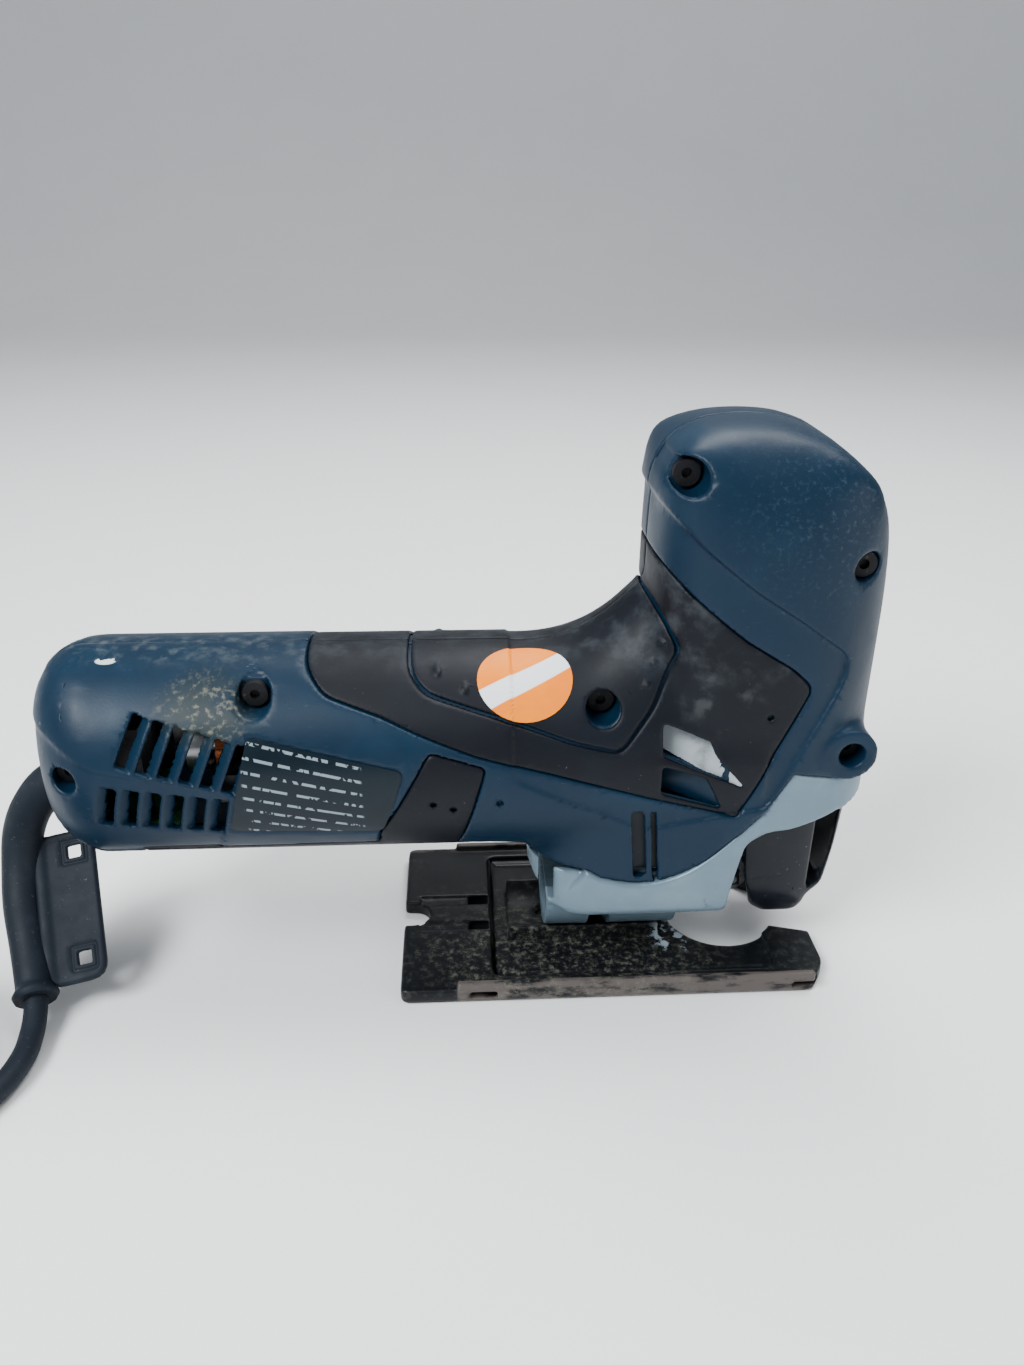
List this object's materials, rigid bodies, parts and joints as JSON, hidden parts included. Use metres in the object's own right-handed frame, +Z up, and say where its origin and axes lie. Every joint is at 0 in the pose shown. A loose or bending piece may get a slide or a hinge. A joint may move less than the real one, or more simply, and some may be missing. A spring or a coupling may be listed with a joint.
{
  "type": "barrel-grip jigsaw",
  "caption": "Barrel-grip electric jigsaw with a tilting, sliding sole plate, orbital blade guidance, blade hood and a mains lead with a contour plug.",
  "frame": {"origin": "point on the sole's underside where the blade's axis crosses it, in the open blade bay", "axes": "+X to the blade end, along the motor barrel; +Y to the tool's left; +Z up, along the blade's stroke"},
  "size_m": [0.3859, 0.1754, 0.1815],
  "materials": {
    "blue_shell": "fine moulded texture, worn",
    "board": "lacquered",
    "bronze": "sintered",
    "carbon": "carbon",
    "copper": "varnished wire",
    "dark_steel": "blackened",
    "electrics": "moulded",
    "foil": "printed foil",
    "gear_metal": "painted casting",
    "hood_plastic": "satin",
    "laminate": "stamped sheets",
    "lead_rubber": "matte rubber",
    "orange_foil": "printed foil",
    "plate_steel": "black coat, worn edges",
    "soft_grip": "satin elastomer",
    "steel": "machined"
  },
  "bodies": {
    "housing": {"right_housing": "blue_shell", "left_housing": "blue_shell", "right_grip_skin": "soft_grip", "left_grip_skin": "soft_grip", "right_grip_pad": "soft_grip", "left_grip_pad": "soft_grip", "belly_strip": "soft_grip", "gear_housing": "gear_metal", "blade_hood": "hood_plastic", "guard_wire": "dark_steel", "fork_pivot_pin": "steel", "lower_bush": "bronze", "upper_bush": "bronze", "guide_bracket": "gear_metal", "switch_module": "electrics", "control_board": "board", "suppressor": "electrics", "front_bearing": "steel", "rear_bearing": "steel", "stator_core": "laminate", "field_windings": "copper", "brush_holders": "steel", "carbon_brushes": "carbon", "brush_springs": "steel", "gear_axle": "steel", "housing_screws": "dark_steel", "bracket_screws": "steel", "rating_plate": "foil", "round_sticker": "orange_foil", "lead_sleeve": "lead_rubber", "lead_clamp": "hood_plastic", "clamp_screws": "steel", "mains_lead": "lead_rubber", "lead_coil": "lead_rubber", "plug_body": "lead_rubber", "plug_pins": "steel"},
    "armature": {"armature_shaft": "steel", "armature_core": "laminate", "armature_windings": "copper", "commutator": "copper", "fan": "hood_plastic"},
    "gear": {"drive_gear": "steel", "balance_weight": "steel"},
    "plunger": {"plunger": "steel", "blade_clamp": "dark_steel"},
    "lever": {"clamp_lever": "hood_plastic"},
    "fork": {"roller_fork": "dark_steel"},
    "roller": {"guide_roller": "steel"},
    "plate_clamp": {"plate_clamp_block": "steel"},
    "plate_screw": {"plate_clamp_screw": "dark_steel"},
    "sole": {"sole_plate": "plate_steel"},
    "selector": {"orbit_selector": "hood_plastic"},
    "switch": {"slide_switch": "hood_plastic"},
    "dial": {"speed_dial": "hood_plastic"}
  },
  "joints": [
    {"name": "gear_spin", "type": "hinge", "parent": "housing", "child": "gear", "pos_m": [-0.035, 0, 0.1038], "axis": [1, 0, 0], "continuous": true},
    {"name": "armature_spin", "type": "hinge", "parent": "housing", "child": "armature", "pos_m": [-0.1, 0, 0.077], "axis": [1, 0, 0], "continuous": true},
    {"name": "plunger_stroke", "type": "slide", "parent": "housing", "child": "plunger", "axis": [0, 0, 1], "range_m": [-0.013, 0.013]},
    {"name": "clamp_release", "type": "hinge", "parent": "plunger", "child": "lever", "pos_m": [0, 0, 0.0475], "axis": [0, 0, 1], "range_deg": [0, 60], "stiffness_Nm_per_rad": 0.05},
    {"name": "orbit_swing", "type": "hinge", "parent": "housing", "child": "fork", "pos_m": [-0.0295, 0, 0.048], "axis": [0, -1, 0], "range_deg": [0, 4]},
    {"name": "roller_spin", "type": "hinge", "parent": "fork", "child": "roller", "pos_m": [-0.0114, 0, 0.0205], "axis": [0, 1, 0], "continuous": true},
    {"name": "plate_tilt", "type": "hinge", "parent": "housing", "child": "plate_clamp", "pos_m": [-0.06, 0, 0.027], "axis": [1, 0, 0], "range_deg": [-45, 45]},
    {"name": "plate_slide", "type": "slide", "parent": "plate_clamp", "child": "sole", "axis": [1, 0, 0], "range_m": [0, 0.016]},
    {"name": "clamp_screw_turn", "type": "hinge", "parent": "plate_clamp", "child": "plate_screw", "pos_m": [-0.06, 0, 0.01], "axis": [0, 0, 1], "continuous": true},
    {"name": "orbit_selector_turn", "type": "hinge", "parent": "housing", "child": "selector", "pos_m": [-0.07, 0.03, 0.062], "axis": [0, 1, 0], "range_deg": [0, 90]},
    {"name": "switch_slide", "type": "slide", "parent": "housing", "child": "switch", "axis": [1, 0, 0], "range_m": [0, 0.006]},
    {"name": "speed_dial_turn", "type": "hinge", "parent": "housing", "child": "dial", "pos_m": [-0.213, 0.021, 0.0955], "axis": [1, 0, 0], "range_deg": [-140, 140]}
  ],
  "couplings": [
    {"joint": "armature_spin", "follows": "gear_spin", "ratio": -6.4444}
  ]
}
